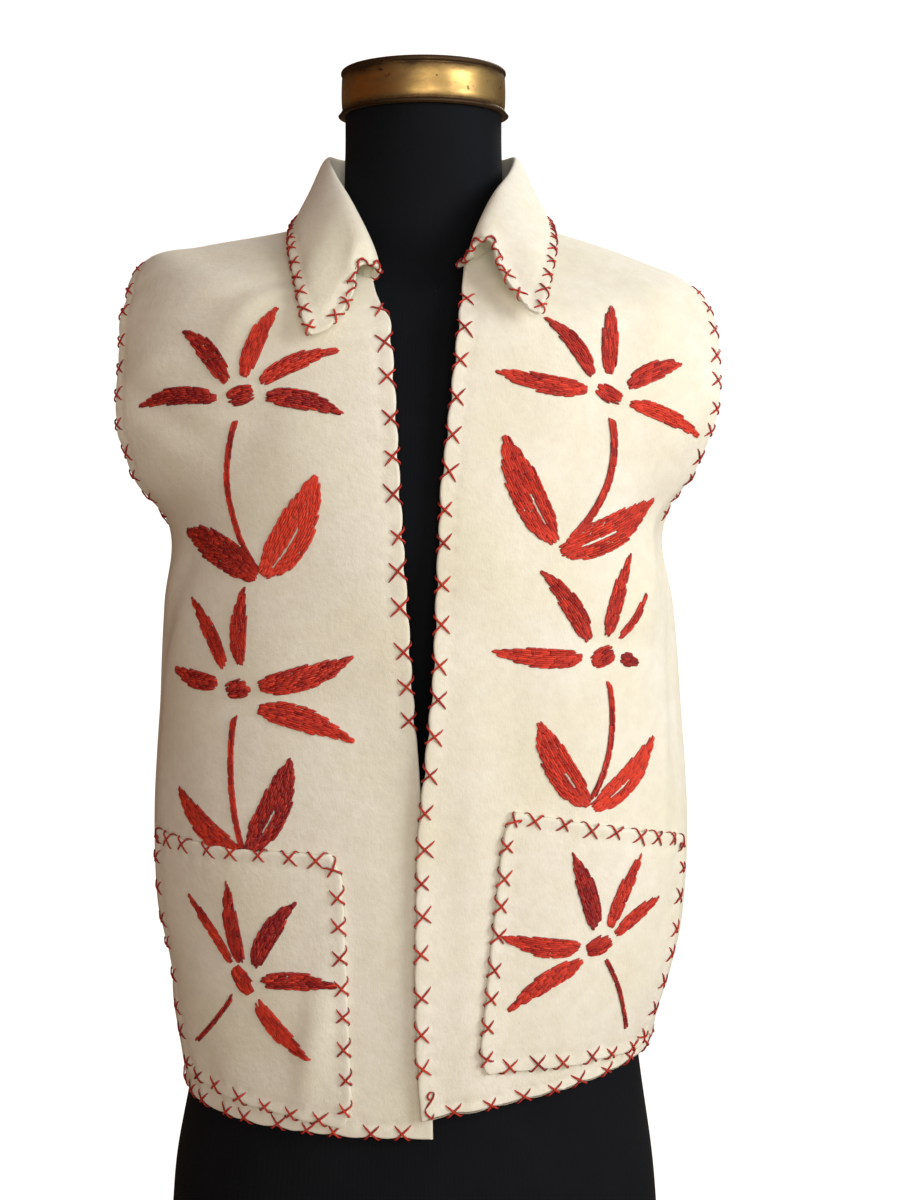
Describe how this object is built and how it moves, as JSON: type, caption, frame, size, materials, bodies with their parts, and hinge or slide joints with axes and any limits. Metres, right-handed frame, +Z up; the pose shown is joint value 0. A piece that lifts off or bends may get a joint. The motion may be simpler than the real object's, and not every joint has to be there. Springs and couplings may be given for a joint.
{
  "type": "sleeveless wool vest on a limbless dress form",
  "caption": "Sleeveless cream wool vest with a turned-down collar and patch pockets, worn open on a limbless dress form with a brass neck cap.",
  "frame": {"origin": "middle of the dress form's flat base", "axes": "+Z up; the open front faces -Y, so +X is to the right of someone who looks at the front"},
  "size_m": [0.4045, 0.243, 0.7983],
  "materials": {
    "wool": "matt cream felted wool, sewn with red cotton thread",
    "thread": "glossy red embroidery thread",
    "jersey": "matt black knitted jersey cover",
    "brass": "aged brushed brass"
  },
  "bodies": {
    "root": {"vest_front_left": "wool", "vest_front_right": "wool", "vest_back": "wool", "collar": "wool", "pocket_left": "wool", "pocket_right": "wool", "form_body": "jersey", "form_neck_cap": "brass"}
  },
  "joints": []
}
